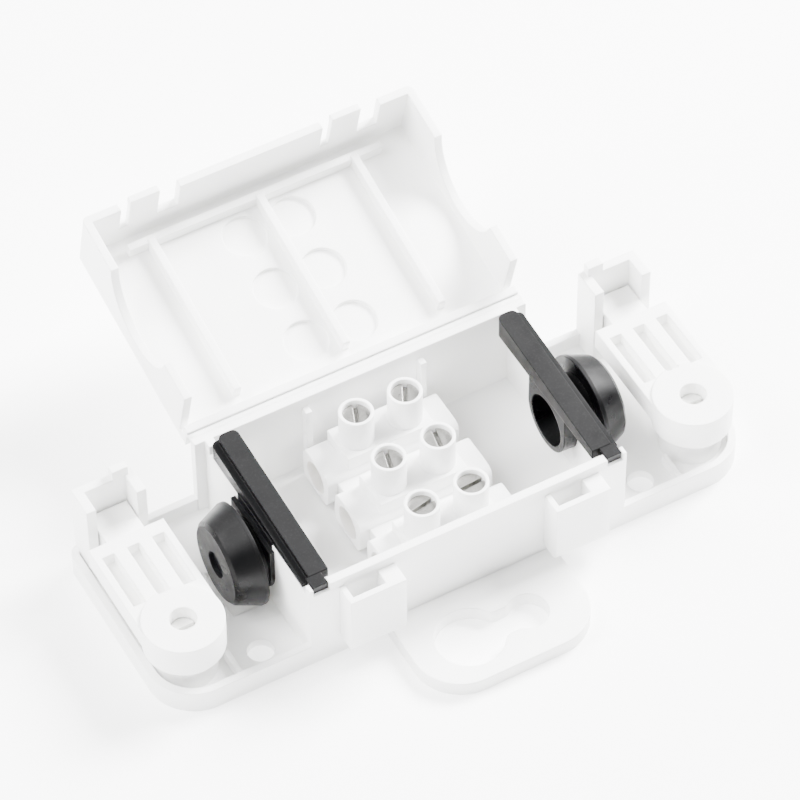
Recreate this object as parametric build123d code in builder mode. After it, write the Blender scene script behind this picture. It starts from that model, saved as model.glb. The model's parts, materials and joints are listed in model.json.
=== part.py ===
"""In-line cable connection box with a hinged lid, laid open.

A moulded tray carries a walled terminal chamber in the middle and a wing at each end.
A rubber grommet seals each end wall, and a screwed strap on each wing clamps the cable.
All sizes are in millimetres.

Frame: X runs along the box, from the left wing to the right wing. Y runs from the front,
where the keyhole tab and the latch keepers are, to the lid's hinge at the back. Z is up,
and the origin is in the middle of the tray's underside.
"""
import os

from build123d import *

# tray and wings
HALF_LENGTH = 49.6
HALF_DEPTH = 17.0
FLOOR = 1.5
RIM_TOP = 4.1
RIM_WALL = 1.2
FRONT_CORNER = 7.5
REAR_CORNER = 2.0
WING_HOLE_X = 32.5
WING_HOLE_Y = -12.1
WING_HOLE_R = 2.05

# terminal chamber
CHAMBER_X = 26.6
WALL = 1.4
WALL_TOP = 17.0
HINGE_WALL_X = 28.3
INNER_X = CHAMBER_X - WALL
INNER_Y = HALF_DEPTH - WALL
END_WALL_TOP = 15.3
LEDGE_TOP = 12.0
LEDGE_DEPTH = 1.1

# cable axis and the grommets on it
CABLE_Z = 8.9
SLOT_HALF = 5.4
BODY_HALF = 5.3
MOUTH_R = 4.3
BAR_X = 22.2
BODY_X = 22.9
BAR_STEP_X = 25.4
BAR_OUT_X = 26.5
BAR_FRONT = -14.4
BAR_REAR = 14.0
BAR_LOW = 15.4
BAR_STEP = 1.0
BAR_TOP_FRONT = 17.2
BAR_TOP_REAR = 19.1
BAR_TAB_X = (23.4, 25.9)
BAR_TAB_LOW = 15.8
BAR_TAB_FRONT = -16.6
FLANGE_HALF = 6.1
FLANGE_TOP = 14.5
GROOVE_R = 5.7
CONE_R = 8.2
CONE_X = 28.7
TIP_R = 6.7
TIP_X = 33.3
SKIN_X = 31.9
PILOT_X = 32.6
PILOT_R = 2.2
RELIEF_LOW = 0.4

# lid, drawn closed over the chamber, and its hinge
OPEN_DEG = 166.0
HINGE_Y = 17.6
HINGE_Z = 17.3
LID_HALF = 28.3
LID_FRONT = -18.6
LID_REAR = 17.3
LID_TOP = 21.0
LID_INNER = 19.6
LID_WALL = 1.3
SKIRT_LOW = 10.3
SKIRT_REAR = 15.2
CONE_GAP_R = 8.8
RIB_W = 1.2
RIB_LOW = 17.4
RIB_XS = (-18.0, 0.5, 17.0)
CROSS_RIB_Y = -14.7
RECESS_R = 3.5
RECESS_DEPTH = 0.6

# latch: keepers on the tray, tongues on the lid
LATCH_X = 17.2
KEEPER_HALF = 4.6
KEEPER_FRONT = -20.6
KEEPER_WALL = 1.0
KEEPER_LOW = 4.0
KEEPER_TOP = 15.3
POCKET = (-3.7, 1.7)
TONGUE_W = 4.9
TONGUE_T = 0.9
TONGUE_LOW = 9.0
BARB = 0.2
NOTCH_HALF = 5.0
NOTCH_TOP = 15.8

# keyhole tab
TAB_HALF = 14.3
TAB_FRONT = -33.5
TAB_T = 2.5
TAB_CORNER = 7.5
KEY_X = 4.9
KEY_Y = -25.7
KEY_BIG_R = 5.3
KEY_SMALL_R = 3.2
KEY_WAIST = 2.3

# cable clamps
CLAMP_X = 43.2
BOSS_Y = -8.9
BOSS_R = 6.2
BOSS_LOW = 7.0
BOSS_TOP = 12.4
POST_R = 4.8
POST_TOP = 6.9
STRAP_LOW = 8.4
STRAP_TOP = 12.0
STRAP_REAR = 9.3
TAIL_HALF = 3.1
TAIL_REAR = 15.2
GROOVE_W = 2.0
GROOVE_PITCH = 4.1
GROOVE_DEPTH = 2.0
TOWER_HALF = 4.9
TOWER_FRONT = 11.8
TOWER_TOP = 17.0
CHANNEL_HALF = 3.35
CHANNEL_LOW = 8.0
BOSS_HOLE_R = 2.05
SEAT_Z = 8.5
CLAMP_SHANK_R = 1.1

# terminal block
POLE_PITCH = 10.0
SCREW_X = 4.15
TUBE_R = 2.7
TUBE_BORE_R = 2.18
TUBE_TOP = 16.4
BLOCK_LOW = 2.0
BARREL_TOP = 8.4
BARREL_HALF_X = 11.3
BARREL_HALF_Y = 3.9
SHOULDER_TOP = 10.5
SHOULDER_HALF_X = 7.4
SHOULDER_HALF_Y = 3.3
WEB_TOP = 6.9
WIRE_Z = 5.2
INSERT_R = 2.6
INSERT_FIT = 0.06
INSERT_HALF_X = 8.5
INSERT_BORE_R = 1.7
SHANK_R = 1.5
SHANK_FIT = 0.05
HEAD_R = 2.1
HEAD_TOP = 15.6
HEAD_H = 2.3
PEG_R = 1.0

POLES = {"rear": POLE_PITCH, "middle": 0.0, "front": -POLE_PITCH}
SIDES = {"left": -1, "right": 1}
SLOT_ANGLES = {
    ("rear", "left"): 68,
    ("rear", "right"): 62,
    ("middle", "left"): 75,
    ("middle", "right"): 80,
    ("front", "left"): 12,
    ("front", "right"): 4,
}


def slab(x, y, z, mode=Mode.ADD):
    """A rectangular block between the low and high of each axis, in either order."""
    with Locations(((x[0] + x[1]) / 2, (y[0] + y[1]) / 2, (z[0] + z[1]) / 2)):
        Box(abs(x[1] - x[0]), abs(y[1] - y[0]), abs(z[1] - z[0]), mode=mode)


def disc(center, radius, z, mode=Mode.ADD):
    """An upright cylinder from one height to another."""
    with Locations((center[0], center[1], (z[0] + z[1]) / 2)):
        Cylinder(radius, z[1] - z[0], mode=mode)


# ---- base tray: tray, chamber, keepers, tab, posts and towers in one moulding ----
with BuildPart() as base_tray:
    # floor with a low rim
    with BuildSketch() as outline:
        Rectangle(2 * HALF_LENGTH, 2 * HALF_DEPTH)
        fillet(outline.vertices().group_by(Axis.Y)[0], FRONT_CORNER)
        fillet(outline.vertices().group_by(Axis.Y)[-1], REAR_CORNER)
    extrude(amount=RIM_TOP)
    with BuildSketch(Plane.XY.offset(FLOOR)) as inside:
        Rectangle(2 * (HALF_LENGTH - RIM_WALL), 2 * (HALF_DEPTH - RIM_WALL))
        fillet(inside.vertices().group_by(Axis.Y)[0], FRONT_CORNER - RIM_WALL)
        fillet(inside.vertices().group_by(Axis.Y)[-1], REAR_CORNER - RIM_WALL)
    extrude(amount=RIM_TOP - FLOOR, mode=Mode.SUBTRACT)

    # keyhole tab, level with the underside
    with BuildSketch() as tab:
        with Locations((0, (TAB_FRONT - HALF_DEPTH + 1) / 2)):
            Rectangle(2 * TAB_HALF, -TAB_FRONT - HALF_DEPTH + 1)
        fillet(tab.vertices().group_by(Axis.Y)[0], TAB_CORNER)
    extrude(amount=TAB_T)
    with BuildSketch() as keyhole:
        with Locations((-KEY_X, KEY_Y)):
            Circle(KEY_BIG_R)
        with Locations((KEY_X, KEY_Y)):
            Circle(KEY_SMALL_R)
        with Locations((0, KEY_Y)):
            Rectangle(2 * KEY_X, 2 * KEY_WAIST)
        waist = [v for v in keyhole.vertices() if abs(v.X) < KEY_X and abs(v.Y - KEY_Y) > 1]
        fillet(waist, 1.6)
    extrude(amount=TAB_T, mode=Mode.SUBTRACT)

    # chamber walls, the hinge wall a little longer than the chamber
    slab((-CHAMBER_X, CHAMBER_X), (-HALF_DEPTH, HALF_DEPTH), (0, WALL_TOP))
    slab((-HINGE_WALL_X, HINGE_WALL_X), (INNER_Y, HALF_DEPTH), (0, WALL_TOP))
    slab((-INNER_X, INNER_X), (-INNER_Y, INNER_Y), (FLOOR, WALL_TOP), Mode.SUBTRACT)
    slab((-20, 20), (-INNER_Y, -INNER_Y + LEDGE_DEPTH), (FLOOR, LEDGE_TOP))

    for side in SIDES.values():
        wall = (side * INNER_X, side * CHAMBER_X)
        # end wall lowered for the sealing bar, with a round-bottomed slot for the grommet
        slab(wall, (-INNER_Y, BAR_REAR + 0.2), (END_WALL_TOP, WALL_TOP), Mode.SUBTRACT)
        with BuildSketch(Plane.YZ.offset(min(wall))):
            with Locations((0, CABLE_Z)):
                Circle(SLOT_HALF)
            with Locations((0, (CABLE_Z + WALL_TOP) / 2)):
                Rectangle(2 * SLOT_HALF, WALL_TOP - CABLE_Z)
        extrude(amount=WALL, mode=Mode.SUBTRACT)
        # front wall notched for the bar's tab
        notch = (side * (BAR_TAB_X[0] - 0.1), side * (BAR_TAB_X[1] + 0.1))
        slab(notch, (-HALF_DEPTH, -INNER_Y), (BAR_TAB_LOW - 0.1, WALL_TOP), Mode.SUBTRACT)
        # relief in the floor under the grommet's cone
        slab((side * 28.3, side * 33.0), (-4.6, 4.6), (RELIEF_LOW, FLOOR), Mode.SUBTRACT)
        # guide rib inside the hinge wall
        slab((side * 9.3, side * 10.3), (INNER_Y - 1.3, INNER_Y), (FLOOR, 15.0))
        # floor rib beside the clamp post, and the wing's screw hole
        slab((side * 37.1, side * 37.9), (-HALF_DEPTH + 1, -10.5), (FLOOR, 3.2))
        disc((side * WING_HOLE_X, WING_HOLE_Y), WING_HOLE_R, (0, FLOOR), Mode.SUBTRACT)
        # clamp post with a pilot hole for the clamp screw
        disc((side * CLAMP_X, BOSS_Y), POST_R, (FLOOR, POST_TOP))
        disc((side * CLAMP_X, BOSS_Y), CLAMP_SHANK_R + 0.06, (2.0, POST_TOP), Mode.SUBTRACT)
        # tower with an open channel for the strap's tail, and a nib on its rear edge
        tower = (side * CLAMP_X - TOWER_HALF, side * CLAMP_X + TOWER_HALF)
        slab(tower, (TOWER_FRONT, HALF_DEPTH), (FLOOR, TOWER_TOP))
        channel = (side * CLAMP_X - CHANNEL_HALF, side * CLAMP_X + CHANNEL_HALF)
        slab(channel, (TOWER_FRONT, INNER_Y), (CHANNEL_LOW, TOWER_TOP), Mode.SUBTRACT)
        slab((side * 39.3, side * 41.9), (INNER_Y, HALF_DEPTH), (TOWER_TOP, 18.7))

    for latch_x in (-LATCH_X, LATCH_X):
        # keeper: a pocket on the front wall that is open at the top
        with BuildSketch(Plane.YZ.offset(latch_x - KEEPER_HALF)) as keeper:
            with Locations(((KEEPER_FRONT - HALF_DEPTH) / 2, (KEEPER_LOW + KEEPER_TOP) / 2)):
                Rectangle(-HALF_DEPTH - KEEPER_FRONT, KEEPER_TOP - KEEPER_LOW)
            fillet(keeper.vertices().group_by(Axis.Y)[0], 0.9)
        extrude(amount=2 * KEEPER_HALF)
        pocket = (latch_x + POCKET[0], latch_x + POCKET[1])
        depth = (KEEPER_FRONT + KEEPER_WALL, -HALF_DEPTH)
        slab(pocket, depth, (KEEPER_LOW, KEEPER_TOP), Mode.SUBTRACT)

    # pads and pegs under the terminal block
    for peg_y in (-POLE_PITCH / 2, POLE_PITCH / 2):
        disc((0, peg_y), 2.2, (FLOOR, BLOCK_LOW))
        disc((0, peg_y), PEG_R, (BLOCK_LOW, 5.0))


# ---- lid: drawn closed, then swung open about its hinge ----
with BuildPart() as lid:
    with BuildSketch(Plane.XY.offset(SKIRT_LOW)) as cover:
        with Locations((0, (LID_FRONT + LID_REAR) / 2)):
            Rectangle(2 * LID_HALF, LID_REAR - LID_FRONT)
        fillet(cover.vertices().group_by(Axis.Y)[0], 1.0)
    extrude(amount=LID_TOP - SKIRT_LOW)
    inside_x = LID_HALF - LID_WALL
    slab(
        (-inside_x, inside_x),
        (LID_FRONT + LID_WALL, LID_REAR - LID_WALL),
        (SKIRT_LOW, LID_INNER),
        Mode.SUBTRACT,
    )
    # the rear skirt is low, and the side skirts stop short of the hinge wall
    slab((-LID_HALF, LID_HALF), (SKIRT_REAR, LID_REAR), (SKIRT_LOW, HINGE_Z), Mode.SUBTRACT)
    for side in SIDES.values():
        skirt = (side * inside_x, side * LID_HALF)
        slab(skirt, (SKIRT_REAR, LID_REAR - LID_WALL), (SKIRT_LOW, LID_INNER), Mode.SUBTRACT)
    # round cut-outs in the side skirts that clear the grommets' cones
    with BuildSketch(Plane.YZ.offset(-LID_HALF)):
        with Locations((0, CABLE_Z)):
            Circle(CONE_GAP_R)
    extrude(amount=2 * LID_HALF, mode=Mode.SUBTRACT)
    # shallow round recesses over the terminal screws
    for pole_y in POLES.values():
        for side in SIDES.values():
            recess = (LID_INNER, LID_INNER + RECESS_DEPTH)
            disc((side * SCREW_X, pole_y), RECESS_R, recess, Mode.SUBTRACT)
    # stiffening ribs: three from front to back, joined by one along the front
    for rib_x in RIB_XS:
        rib = (rib_x - RIB_W / 2, rib_x + RIB_W / 2)
        slab(rib, (CROSS_RIB_Y, 13.8), (RIB_LOW, LID_INNER + 0.1))
    cross_y = (CROSS_RIB_Y - RIB_W / 2, CROSS_RIB_Y + RIB_W / 2)
    slab((-21.8, 21.8), cross_y, (RIB_LOW + 0.2, LID_INNER + 0.1))
    # notches that clear the keepers, with a tongue in each
    for latch_x in (-LATCH_X, LATCH_X):
        edge = (LID_FRONT, LID_FRONT + LID_WALL)
        notch = (latch_x - NOTCH_HALF, latch_x + NOTCH_HALF)
        slab(notch, edge, (SKIRT_LOW, NOTCH_TOP), Mode.SUBTRACT)
        tongue_x = latch_x + (POCKET[0] + POCKET[1]) / 2
        tongue = (tongue_x - TONGUE_W / 2, tongue_x + TONGUE_W / 2)
        root = LID_FRONT + LID_WALL
        slab(tongue, (root - TONGUE_T, root), (TONGUE_LOW, NOTCH_TOP))
        slab(tongue, (root - TONGUE_T - BARB, root), (TONGUE_LOW, TONGUE_LOW + 1.2))


# ---- grommet: sealing bar, slot body and stepped cone, moulded in rubber ----
with BuildPart() as right_grommet:
    # the bar's top falls towards the front, and a ledge runs along its outer side
    for bar_width, drop in ((BAR_OUT_X - BAR_X, BAR_STEP), (BAR_STEP_X - BAR_X, 0)):
        with BuildSketch(Plane.YZ.offset(BAR_X)):
            with BuildLine():
                Polyline(
                    (BAR_FRONT, BAR_LOW),
                    (BAR_FRONT, BAR_TOP_FRONT - drop),
                    (BAR_REAR, BAR_TOP_REAR - drop),
                    (BAR_REAR, BAR_LOW),
                    close=True,
                )
            make_face()
        extrude(amount=bar_width)
    fillet(right_grommet.edges().filter_by(Axis.Z).group_by(Axis.Y)[-1], 1.0)
    slab(BAR_TAB_X, (BAR_TAB_FRONT, BAR_FRONT), (BAR_TAB_LOW, BAR_TOP_FRONT - 0.1))
    # body that fills the slot in the end wall
    with BuildSketch(Plane.YZ.offset(BODY_X)):
        with Locations((0, CABLE_Z)):
            Circle(BODY_HALF)
        with Locations((0, (CABLE_Z + BAR_LOW + 0.5) / 2)):
            Rectangle(2 * BODY_HALF, BAR_LOW + 0.5 - CABLE_Z)
    extrude(amount=CHAMBER_X + 0.05 - BODY_X)
    # flange outside the wall, the same U shape but wider
    with BuildSketch(Plane.YZ.offset(CHAMBER_X + 0.05)):
        with Locations((0, CABLE_Z)):
            Circle(FLANGE_HALF)
        with Locations((0, (CABLE_Z + FLANGE_TOP) / 2)):
            Rectangle(2 * FLANGE_HALF, FLANGE_TOP - CABLE_Z)
    extrude(amount=0.75)
    # groove and cone
    with BuildSketch(Plane.XZ):
        with BuildLine():
            Polyline(
                (CHAMBER_X + 0.3, CABLE_Z),
                (CHAMBER_X + 0.3, CABLE_Z + GROOVE_R),
                (CONE_X, CABLE_Z + GROOVE_R),
                (CONE_X, CABLE_Z + CONE_R),
                (CONE_X + 0.6, CABLE_Z + CONE_R),
                (TIP_X - 0.5, CABLE_Z + TIP_R),
                (TIP_X, CABLE_Z + TIP_R - 0.6),
                (TIP_X, CABLE_Z),
                close=True,
            )
        make_face()
    revolve(axis=Axis((0, 0, CABLE_Z), (1, 0, 0)))
    # hollow from inside the chamber up to a thin skin, and the pilot recess in the tip
    with BuildSketch(Plane.YZ.offset(BAR_X)):
        with Locations((0, CABLE_Z)):
            Circle(MOUTH_R)
    extrude(amount=SKIN_X - BAR_X, mode=Mode.SUBTRACT)
    with BuildSketch(Plane.YZ.offset(PILOT_X)):
        with Locations((0, CABLE_Z)):
            Circle(PILOT_R)
    extrude(amount=TIP_X - PILOT_X, mode=Mode.SUBTRACT)


# ---- clamp strap: screw boss, grooved bar, and a tail that sits in the tower ----
with BuildPart() as right_strap:
    slab((CLAMP_X - BOSS_R, CLAMP_X + BOSS_R), (BOSS_Y, STRAP_REAR), (STRAP_LOW, STRAP_TOP))
    disc((CLAMP_X, BOSS_Y), BOSS_R, (BOSS_LOW, BOSS_TOP))
    tail = (CLAMP_X - TAIL_HALF, CLAMP_X + TAIL_HALF)
    slab(tail, (STRAP_REAR, TAIL_REAR), (STRAP_LOW, STRAP_TOP - 0.3))
    for groove in (-1, 0, 1):
        groove_x = CLAMP_X + groove * GROOVE_PITCH
        slab(
            (groove_x - GROOVE_W / 2, groove_x + GROOVE_W / 2),
            (-3.2, 7.0),
            (STRAP_TOP - GROOVE_DEPTH, STRAP_TOP + 1),
            Mode.SUBTRACT,
        )
    disc((CLAMP_X, BOSS_Y), BOSS_HOLE_R, (SEAT_Z, BOSS_TOP), Mode.SUBTRACT)
    disc((CLAMP_X, BOSS_Y), CLAMP_SHANK_R + 0.2, (BOSS_LOW, SEAT_Z), Mode.SUBTRACT)


# ---- clamp screw, seated low in its boss ----
with BuildPart() as right_screw:
    disc((CLAMP_X, BOSS_Y), BOSS_HOLE_R - 0.15, (SEAT_Z + 0.02, SEAT_Z + 1.6))
    disc((CLAMP_X, BOSS_Y), CLAMP_SHANK_R, (2.6, SEAT_Z + 0.02))
    slab(
        (CLAMP_X - 3, CLAMP_X + 3),
        (BOSS_Y - 0.3, BOSS_Y + 0.3),
        (SEAT_Z + 0.9, SEAT_Z + 1.6),
        Mode.SUBTRACT,
    )


# ---- terminal housing: three poles joined by webs, two screw tubes on each ----
with BuildPart() as terminal_housing:
    slab((-9.6, 9.6), (-POLE_PITCH, POLE_PITCH), (BLOCK_LOW, WEB_TOP))
    for pole_y in POLES.values():
        with BuildSketch(Plane.YZ.offset(-BARREL_HALF_X)) as barrel:
            with Locations((pole_y, (BLOCK_LOW + BARREL_TOP) / 2)):
                Rectangle(2 * BARREL_HALF_Y, BARREL_TOP - BLOCK_LOW)
            fillet(barrel.vertices().group_by(Axis.Z)[-1], 1.4)
        extrude(amount=2 * BARREL_HALF_X)
        slab(
            (-SHOULDER_HALF_X, SHOULDER_HALF_X),
            (pole_y - SHOULDER_HALF_Y, pole_y + SHOULDER_HALF_Y),
            (BARREL_TOP - 1, SHOULDER_TOP),
        )
        for side in SIDES.values():
            disc((side * SCREW_X, pole_y), TUBE_R, (SHOULDER_TOP, TUBE_TOP))
    for pole_y in POLES.values():
        with BuildSketch(Plane.YZ.offset(-BARREL_HALF_X)):
            with Locations((pole_y, WIRE_Z)):
                Circle(INSERT_R + INSERT_FIT)
        extrude(amount=2 * BARREL_HALF_X, mode=Mode.SUBTRACT)
        for side in SIDES.values():
            screw_at = (side * SCREW_X, pole_y)
            disc(screw_at, TUBE_BORE_R, (SHOULDER_TOP - 0.5, TUBE_TOP), Mode.SUBTRACT)
            disc(screw_at, SHANK_R + 0.3, (WIRE_Z, SHOULDER_TOP), Mode.SUBTRACT)
    for peg_y in (-POLE_PITCH / 2, POLE_PITCH / 2):
        disc((0, peg_y), PEG_R + 0.05, (BLOCK_LOW, WEB_TOP), Mode.SUBTRACT)


def brass_insert(pole_y):
    """A round brass bar with a wire bore along it and two screw holes from above."""
    with BuildPart() as insert:
        with BuildSketch(Plane.YZ.offset(-INSERT_HALF_X)):
            with Locations((pole_y, WIRE_Z)):
                Circle(INSERT_R)
                Circle(INSERT_BORE_R, mode=Mode.SUBTRACT)
        extrude(amount=2 * INSERT_HALF_X)
        for side in SIDES.values():
            screw_at = (side * SCREW_X, pole_y)
            top = (WIRE_Z, WIRE_Z + INSERT_R)
            disc(screw_at, SHANK_R + SHANK_FIT, top, Mode.SUBTRACT)
    return insert.part


def terminal_screw(center, slot_angle):
    """A slotted cheese-head screw; its head turns inside the housing's tube."""
    with BuildPart() as screw:
        disc(center, HEAD_R, (HEAD_TOP - HEAD_H, HEAD_TOP))
        disc(center, SHANK_R, (WIRE_Z + 0.8, HEAD_TOP - HEAD_H))
        with BuildSketch(Plane.XY.offset(HEAD_TOP - 0.9)):
            with Locations(Location(center, slot_angle)):
                Rectangle(3 * HEAD_R, 0.7)
        extrude(amount=0.9, mode=Mode.SUBTRACT)
    return screw.part


pieces = {
    "base_tray": base_tray.part,
    "lid": lid.part.rotate(Axis((0, HINGE_Y, HINGE_Z), (1, 0, 0)), -OPEN_DEG),
    "terminal_housing": terminal_housing.part,
    "right_grommet": right_grommet.part,
    "left_grommet": mirror(right_grommet.part, about=Plane.YZ),
    "right_clamp_strap": right_strap.part,
    "left_clamp_strap": mirror(right_strap.part, about=Plane.YZ),
    "right_clamp_screw": right_screw.part,
    "left_clamp_screw": mirror(right_screw.part, about=Plane.YZ),
}
for pole, pole_y in POLES.items():
    pieces[f"{pole}_brass_insert"] = brass_insert(pole_y)
    for name, side in SIDES.items():
        screw_at = (side * SCREW_X, pole_y)
        pieces[f"{pole}_{name}_terminal_screw"] = terminal_screw(
            screw_at, SLOT_ANGLES[pole, name]
        )

os.makedirs("parts", exist_ok=True)
for name, piece in pieces.items():
    piece.label = name
    export_step(piece, f"parts/{name}.step")
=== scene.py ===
"""In-line cable junction box, lid open: materials, hinge film, stage, light and camera."""
import json
import math

import bmesh
import bpy
from mathutils import Matrix, Vector


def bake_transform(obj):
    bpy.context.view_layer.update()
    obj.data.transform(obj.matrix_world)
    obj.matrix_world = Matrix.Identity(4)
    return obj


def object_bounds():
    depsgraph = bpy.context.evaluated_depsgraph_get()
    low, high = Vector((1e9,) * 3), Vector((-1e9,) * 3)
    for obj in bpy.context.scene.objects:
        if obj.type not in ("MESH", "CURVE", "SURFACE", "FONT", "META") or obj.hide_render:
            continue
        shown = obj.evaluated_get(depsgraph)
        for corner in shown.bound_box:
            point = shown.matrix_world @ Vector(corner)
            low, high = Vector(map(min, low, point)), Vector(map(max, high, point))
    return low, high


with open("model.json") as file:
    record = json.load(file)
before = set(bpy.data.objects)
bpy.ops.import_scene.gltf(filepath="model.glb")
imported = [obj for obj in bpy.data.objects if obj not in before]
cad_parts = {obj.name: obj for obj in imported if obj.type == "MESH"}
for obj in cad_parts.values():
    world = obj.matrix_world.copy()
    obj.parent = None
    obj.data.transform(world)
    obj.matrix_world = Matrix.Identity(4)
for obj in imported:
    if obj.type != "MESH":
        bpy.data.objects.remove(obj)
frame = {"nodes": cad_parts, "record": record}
cad_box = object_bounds()
MM = 0.001


# ---- Polypropylene mouldings: tray, lid and cable clamp straps ----
# The tray and lid are one injection moulding in natural white polypropylene, a waxy
# plastic that lets a little light in. The straps come from the same material.

def srgb(code):
    """A #rrggbb colour as linear RGBA."""
    parts = [int(code[i:i + 2], 16) / 255 for i in (1, 3, 5)]
    linear = [c / 12.92 if c <= 0.04045 else ((c + 0.055) / 1.055) ** 2.4 for c in parts]
    return (*linear, 1.0)


def node(tree, kind, settings=None, links=None):
    """Add a shader node; links maps an input to a value or to (node, output)."""
    made = tree.nodes.new(kind)
    for name, value in (settings or {}).items():
        setattr(made, name, value)
    for name, value in (links or {}).items():
        if isinstance(value, tuple) and isinstance(value[0], bpy.types.Node):
            tree.links.new(value[0].outputs[value[1]], made.inputs[name])
        else:
            made.inputs[name].default_value = value
    return made


# a colour Mix node's two colour inputs and its colour output
MIX_A, MIX_B, MIX_OUT = 6, 7, 2


def new_material(name):
    """An empty node material and its output node."""
    made = bpy.data.materials.new(name)
    made.use_nodes = True
    made.node_tree.nodes.clear()
    output = made.node_tree.nodes.new("ShaderNodeOutputMaterial")
    return made, made.node_tree, output


def dress(piece_name, material):
    """Give every slot of a carried-over node the material."""
    piece = frame["nodes"][piece_name]
    if not piece.material_slots:
        piece.data.materials.append(material)
    for slot in piece.material_slots:
        slot.material = material


def polypropylene(name, tint, cloud_tint, roughness):
    """Moulded polypropylene: satin, softly translucent, with a fine spark-eroded grain."""
    made, tree, output = new_material(name)
    place = node(tree, "ShaderNodeTexCoord")
    # resin clouding, a few millimetres across
    cloud = node(tree, "ShaderNodeTexNoise", None, {
        "Vector": (place, "Object"), "Scale": 1 / (7 * MM), "Detail": 3.0, "Roughness": 0.5})
    tone = node(tree, "ShaderNodeValToRGB", None, {"Fac": (cloud, "Fac")})
    tone.color_ramp.elements[0].position = 0.35
    tone.color_ramp.elements[0].color = srgb(cloud_tint)
    tone.color_ramp.elements[1].position = 0.7
    tone.color_ramp.elements[1].color = srgb(tint)
    # mould grain: 0.15 mm pits, drawn at 0.3 mm so that they show
    grain = node(tree, "ShaderNodeTexNoise", None, {
        "Vector": (place, "Object"), "Scale": 1 / (0.3 * MM), "Detail": 4.0, "Roughness": 0.6})
    # slow waviness where the walls shrank as they cooled
    sink = node(tree, "ShaderNodeTexNoise", None, {
        "Vector": (place, "Object"), "Scale": 1 / (5 * MM), "Detail": 1.0, "Roughness": 0.4})
    edge = node(tree, "ShaderNodeBevel", {"samples": 8}, {"Radius": 0.3 * MM})
    wave = node(tree, "ShaderNodeBump", None, {
        "Height": (sink, "Fac"), "Distance": 0.10 * MM, "Strength": 0.5,
        "Normal": (edge, "Normal")})
    pits = node(tree, "ShaderNodeBump", None, {
        "Height": (grain, "Fac"), "Distance": 0.012 * MM, "Strength": 0.6,
        "Normal": (wave, "Normal")})
    rough = node(tree, "ShaderNodeMapRange", None, {
        "Value": (grain, "Fac"), "From Min": 0.3, "From Max": 0.7,
        "To Min": roughness - 0.05, "To Max": roughness + 0.07})
    body = node(tree, "ShaderNodeBsdfPrincipled", None, {
        "Base Color": (tone, "Color"), "Roughness": (rough, "Result"), "Normal": (pits, "Normal"),
        "IOR": 1.49, "Subsurface Weight": 0.35, "Subsurface Scale": 1.2 * MM,
        "Subsurface Radius": (1.0, 1.0, 0.95), "Specular IOR Level": 0.5})
    tree.links.new(body.outputs["BSDF"], output.inputs["Surface"])
    return made


tray_plastic = polypropylene("Polypropylene, natural white, moulded", "#fcfcfb", "#f9f9f8", 0.42)
strap_plastic = polypropylene("Polypropylene, strap moulding", "#fcfcfb", "#f9f9f7", 0.46)
dress("base_tray", tray_plastic)
dress("lid", tray_plastic)
for side in ("left", "right"):
    dress(f"{side}_clamp_strap", strap_plastic)


# ---- Hinge film: the living hinge between the chamber's back wall and the lid ----
# A thin web of the same moulding, about 0.35 mm thick, built here once in the
# shape it bends to with the lid open. It runs the full length of the back wall.

FILM_THICK = 0.35 * MM
FILM_HALF = 28.4 * MM
FILM_STEPS = 48
FILM_BENDS = 12
WALL_EDGE = Vector((0, 16.98 * MM, 16.7 * MM))
hinge = next(j for j in frame["record"]["behaviour"]["joints"] if j["name"] == "lid_hinge")
pivot = Vector(hinge["pos_m"])
lid_turn = math.radians(-hinge["range_deg"][1])


def swing(point):
    """Where a point of the closed lid is when the lid lies open."""
    return pivot + Matrix.Rotation(lid_turn, 3, "X") @ (point - pivot)


LID_EDGE = swing(Vector((0, 17.28 * MM, 18.1 * MM)))
film_path = []
for i in range(FILM_BENDS + 1):
    t = i / FILM_BENDS
    # a shallow S from the wall's back face, over the pivot line, to the lid's edge
    middle = pivot + Vector((0, 0.05 * MM, -0.25 * MM))
    low = WALL_EDGE.lerp(middle, t)
    high = middle.lerp(LID_EDGE, t)
    film_path.append(low.lerp(high, t))

film_mesh = bpy.data.meshes.new("hinge_film")
bm = bmesh.new()
rows = []
for i in range(FILM_STEPS + 1):
    x = -FILM_HALF + 2 * FILM_HALF * i / FILM_STEPS
    ring = []
    for j, point in enumerate(film_path):
        before = film_path[max(j - 1, 0)]
        after = film_path[min(j + 1, len(film_path) - 1)]
        along = (after - before).normalized()
        normal = Vector((0, -along.z, along.y)) * FILM_THICK / 2
        ring.append((bm.verts.new(Vector((x, 0, 0)) + point + normal),
                     bm.verts.new(Vector((x, 0, 0)) + point - normal)))
    rows.append(ring)
for a, b in zip(rows, rows[1:]):
    for j in range(len(film_path) - 1):
        bm.faces.new((a[j][0], b[j][0], b[j + 1][0], a[j + 1][0]))
        bm.faces.new((a[j][1], a[j + 1][1], b[j + 1][1], b[j][1]))
    bm.faces.new((a[0][0], a[0][1], b[0][1], b[0][0]))
    bm.faces.new((a[-1][0], b[-1][0], b[-1][1], a[-1][1]))
for ring in (rows[0], rows[-1]):
    for j in range(len(film_path) - 1):
        bm.faces.new((ring[j][0], ring[j + 1][0], ring[j + 1][1], ring[j][1]))
bmesh.ops.recalc_face_normals(bm, faces=bm.faces)
bm.to_mesh(film_mesh)
bm.free()
for face in film_mesh.polygons:
    face.use_smooth = True
film = bpy.data.objects.new("hinge_film", film_mesh)
bpy.context.collection.objects.link(film)
film.data.materials.append(tray_plastic)
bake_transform(film)


# ---- Cable grommets ----
# Two soft black rubber mouldings, pressed over the end walls. The sealing bar has a
# dull talc-dusted top, and the cone keeps the shine of its polished mould.

TOP_DULLNESS = 0.35
# low for rubber: it keeps the mouldings black under the strong lights below
RUBBER_SPECULAR = 0.15


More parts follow.
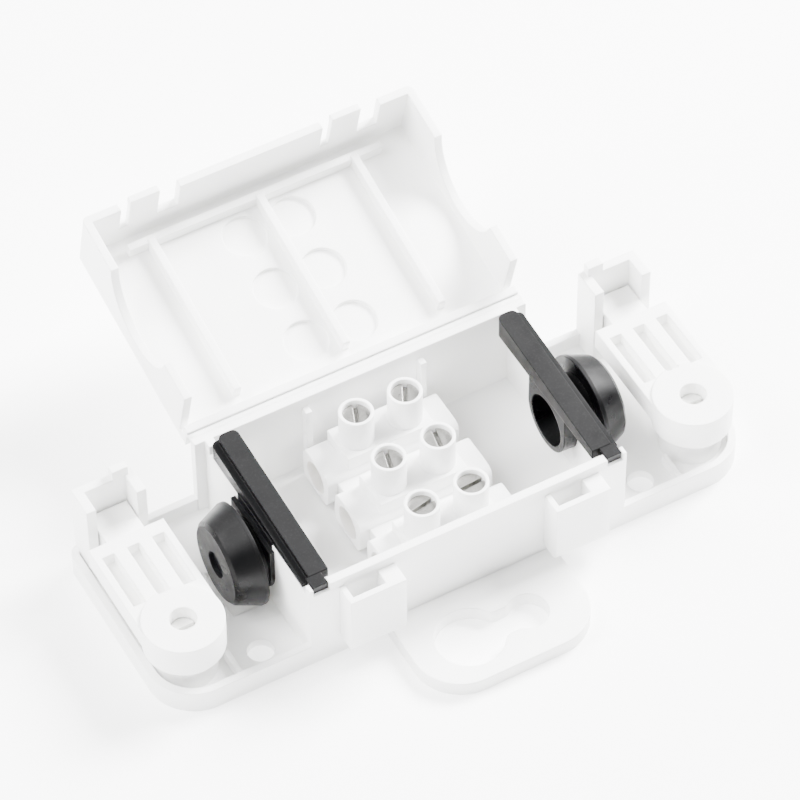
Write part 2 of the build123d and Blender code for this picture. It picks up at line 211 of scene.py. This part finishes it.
def rubber(name, colour, dust, roughness, dust_amount):
    """Black moulded rubber with fine speckle where talc and dust cling."""
    made, tree, output = new_material(name)
    place = node(tree, "ShaderNodeTexCoord")
    speck = node(tree, "ShaderNodeTexNoise", None, {
        "Vector": (place, "Object"), "Scale": 1 / (0.35 * MM), "Detail": 5.0, "Roughness": 0.7})
    bloom = node(tree, "ShaderNodeTexNoise", None, {
        "Vector": (place, "Object"), "Scale": 1 / (4 * MM), "Detail": 2.0, "Roughness": 0.5})
    surface = node(tree, "ShaderNodeNewGeometry")
    facing = node(tree, "ShaderNodeSeparateXYZ", None, {"Vector": (surface, "Normal")})
    up = node(tree, "ShaderNodeMapRange", None, {
        "Value": (facing, "Z"), "From Min": 0.7, "From Max": 1.0, "To Min": 0.0, "To Max": 1.0})
    spots = node(tree, "ShaderNodeMapRange", None, {
        "Value": (speck, "Fac"), "From Min": 0.52, "From Max": 0.72, "To Min": 0.0, "To Max": 1.0})
    dusty = node(tree, "ShaderNodeMath", {"operation": "MULTIPLY"}, {
        0: (up, "Result"), 1: (spots, "Result")})
    amount = node(tree, "ShaderNodeMath", {"operation": "MULTIPLY"}, {
        0: (dusty, "Value"), 1: dust_amount})
    tone = node(tree, "ShaderNodeMix", {"data_type": "RGBA"}, {
        0: (amount, "Value"), MIX_A: srgb(colour), MIX_B: srgb(dust)})
    rough = node(tree, "ShaderNodeMapRange", None, {
        "Value": (bloom, "Fac"), "From Min": 0.3, "From Max": 0.7,
        "To Min": roughness - 0.06, "To Max": roughness + 0.08})
    # the dusty tops are duller than the sides
    dull = node(tree, "ShaderNodeMath", {"operation": "MULTIPLY_ADD"}, {
        0: (up, "Result"), 1: TOP_DULLNESS, 2: (rough, "Result")})
    edge = node(tree, "ShaderNodeBevel", {"samples": 8}, {"Radius": 0.25 * MM})
    skin = node(tree, "ShaderNodeBump", None, {
        "Height": (speck, "Fac"), "Distance": 0.02 * MM, "Strength": 0.5,
        "Normal": (edge, "Normal")})
    body = node(tree, "ShaderNodeBsdfPrincipled", None, {
        "Base Color": (tone, MIX_OUT), "Roughness": (dull, "Value"), "Normal": (skin, "Normal"),
        "IOR": 1.52, "Specular IOR Level": RUBBER_SPECULAR})
    tree.links.new(body.outputs["BSDF"], output.inputs["Surface"])
    return made


grommet_rubber = rubber("Rubber, black, moulded", "#030304", "#1c1c1d", 0.3, 0.5)
for side in ("left", "right"):
    dress(f"{side}_grommet", grommet_rubber)


# ---- Terminal block: housing, brass inserts and screws ----
# The housing is a separate white polypropylene moulding on two pegs. Each pole holds a
# machined brass insert, and two plated cheese-head steel screws reach down its tubes.

terminal_plastic = polypropylene("Polypropylene, terminal housing", "#fbfbfb", "#f8f8f7", 0.4)
dress("terminal_housing", terminal_plastic)


def metal(name, colour, worn, roughness, grain_mm, stretch):
    """Bare or plated metal with fine tool marks drawn out along one axis."""
    made, tree, output = new_material(name)
    place = node(tree, "ShaderNodeTexCoord")
    drawn = node(tree, "ShaderNodeMapping", None, {"Vector": (place, "Object"), "Scale": stretch})
    marks = node(tree, "ShaderNodeTexNoise", None, {
        "Vector": (drawn, "Vector"), "Scale": 1 / (grain_mm * MM), "Detail": 4.0, "Roughness": 0.6})
    tone = node(tree, "ShaderNodeMix", {"data_type": "RGBA"}, {
        0: (marks, "Fac"), MIX_A: srgb(colour), MIX_B: srgb(worn)})
    rough = node(tree, "ShaderNodeMapRange", None, {
        "Value": (marks, "Fac"), "From Min": 0.3, "From Max": 0.7,
        "To Min": roughness - 0.08, "To Max": roughness + 0.1})
    edge = node(tree, "ShaderNodeBevel", {"samples": 8}, {"Radius": 0.15 * MM})
    cut = node(tree, "ShaderNodeBump", None, {
        "Height": (marks, "Fac"), "Distance": 0.02 * MM, "Strength": 0.6,
        "Normal": (edge, "Normal")})
    body = node(tree, "ShaderNodeBsdfPrincipled", None, {
        "Base Color": (tone, MIX_OUT), "Roughness": (rough, "Result"),
        "Normal": (cut, "Normal"), "Metallic": 1.0})
    tree.links.new(body.outputs["BSDF"], output.inputs["Surface"])
    return made


plated_steel = metal("Steel, zinc plated, turned", "#b5b4b1", "#7c7b78", 0.34, 0.4, (1, 1, 0.2))
brass = metal("Brass, drawn bar", "#d9b566", "#b8924a", 0.32, 0.3, (0.15, 1, 1))
for pole in ("rear", "middle", "front"):
    dress(f"{pole}_brass_insert", brass)
    for side in ("left", "right"):
        dress(f"{pole}_{side}_terminal_screw", plated_steel)


# ---- Clamp screws ----
# Guessed: white nylon screws, seated low in the straps' bosses. Their slotted heads
# have the same waxy look as the straps, a little smoother.

nylon = polypropylene("Nylon, natural white, moulded", "#f4f4f1", "#efefec", 0.38)
for side in ("left", "right"):
    dress(f"{side}_clamp_screw", nylon)


# ---- Stage, light and camera ----
# A white paper sweep that gives off light of its own, two large soft lights and a
# bright surround.

FLOOR_HALF = 3
FLOOR_GLOW = 1.6
SURROUND_STRENGTH = 0.8
KEY_WATTS = 46.0
FILL_WATTS = 22.0
AIM = (0, 0.01, 0)

floor_mesh = bpy.data.meshes.new("floor")
corners = [(-FLOOR_HALF, -FLOOR_HALF, 0), (FLOOR_HALF, -FLOOR_HALF, 0),
           (FLOOR_HALF, FLOOR_HALF, 0), (-FLOOR_HALF, FLOOR_HALF, 0)]
floor_mesh.from_pydata(corners, [], [(0, 1, 2, 3)])
floor = bpy.data.objects.new("floor", floor_mesh)
floor.location.z = cad_box[0][2] - 0.02 * MM
bpy.context.collection.objects.link(floor)
sweep, tree, output = new_material("Paper sweep, white")
paper = node(tree, "ShaderNodeBsdfPrincipled", None, {
    "Base Color": srgb("#fbfbfb"), "Roughness": 0.9,
    "Emission Color": (1, 1, 1, 1), "Emission Strength": FLOOR_GLOW})
tree.links.new(paper.outputs["BSDF"], output.inputs["Surface"])
floor.data.materials.append(sweep)

world = bpy.data.worlds.new("Studio surround")
bpy.context.scene.world = world
world.use_nodes = True
surround = world.node_tree.nodes["Background"]
surround.inputs["Color"].default_value = (1, 1, 1, 1)
surround.inputs["Strength"].default_value = SURROUND_STRENGTH


def soft_light(name, place, target, size, power):
    """A square area light aimed at a point."""
    data = bpy.data.lights.new(name, "AREA")
    data.size = size
    data.energy = power
    lamp = bpy.data.objects.new(name, data)
    lamp.location = place
    lamp.rotation_euler = (Vector(target) - Vector(place)).to_track_quat("-Z", "Y").to_euler()
    bpy.context.collection.objects.link(lamp)


soft_light("Key softbox", (0.55, 0.12, 0.50), AIM, 0.35, KEY_WATTS)
soft_light("Fill softbox", (-0.50, 0.20, 0.55), AIM, 0.5, FILL_WATTS)

# the view: turned and tipped about the box's middle, from 0.7 m away
AZIMUTH = math.radians(-28.68)
ELEVATION = math.radians(49.95)
ROLL = math.radians(-0.61)
SENSOR_MM = 36
LENS_MM = 209.2
CAMERA_MM = Vector((-1.549, 17.627, 700))  # across, up and back, in the view's own axes
SIDESTEP_MM = 0.6
back = Vector((math.sin(AZIMUTH) * math.cos(ELEVATION),
               -math.cos(AZIMUTH) * math.cos(ELEVATION),
               math.sin(ELEVATION)))
right = Vector((math.cos(AZIMUTH), math.sin(AZIMUTH), 0))
up = back.cross(right)
level = Matrix((right, up, back)).transposed()
turned = level @ Matrix.Rotation(ROLL, 3, "Z")
camera_data = bpy.data.cameras.new("Camera")
camera_data.sensor_width = SENSOR_MM
camera_data.lens = LENS_MM
camera = bpy.data.objects.new("Camera", camera_data)
place = turned @ CAMERA_MM * MM - Vector((SIDESTEP_MM * MM, 0, 0))
camera.matrix_world = Matrix.Translation(place) @ turned.to_4x4()
bpy.context.collection.objects.link(camera)
bpy.context.scene.camera = camera
